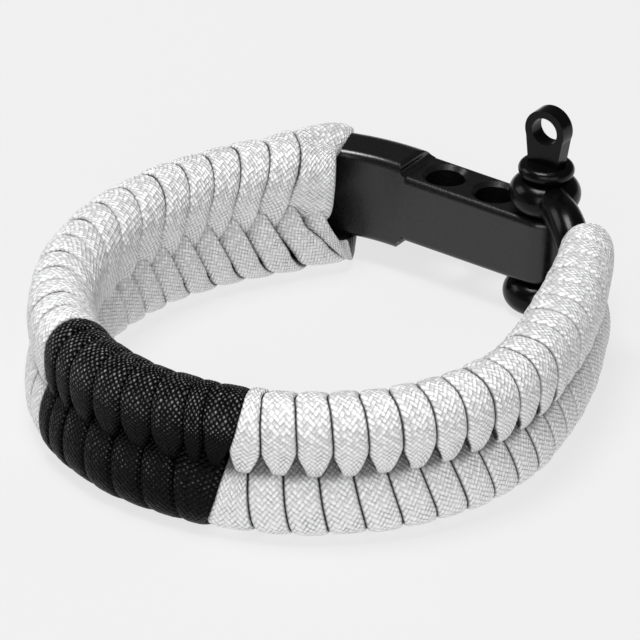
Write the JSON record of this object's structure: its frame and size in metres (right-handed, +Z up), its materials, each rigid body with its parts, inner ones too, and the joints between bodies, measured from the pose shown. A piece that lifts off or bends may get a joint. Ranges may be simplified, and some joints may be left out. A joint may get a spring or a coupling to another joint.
{
  "type": "paracord bracelet",
  "caption": "Fishtail-woven cord bracelet with a dark section, closed by an adjuster bar with spare holes and a bow shackle with a screw pin.",
  "frame": {"origin": "middle of the bracelet's box, on the surface that it lies on", "axes": "+Z up, along the axis of the loop; +Y towards the adjuster bar; +X towards the shackle side"},
  "size_m": [0.0752, 0.0887, 0.0306],
  "materials": {
    "white_cord": "braided nylon",
    "black_cord": "braided nylon",
    "black_bar": "satin black coating",
    "black_steel": "glossy black coating"
  },
  "bodies": {
    "bracelet": {"adjuster_block": "black_bar", "shackle_bow": "black_steel", "white_weave_left": "white_cord", "black_weave": "black_cord", "white_weave_right": "white_cord", "end_wrap_block": "white_cord", "end_wrap_bow": "white_cord"},
    "pin": {"shackle_pin": "black_steel"}
  },
  "joints": [
    {"name": "pin_draw", "type": "slide", "parent": "bracelet", "child": "pin", "axis": [0, 0, 1], "range_m": [0, 0.022]}
  ]
}
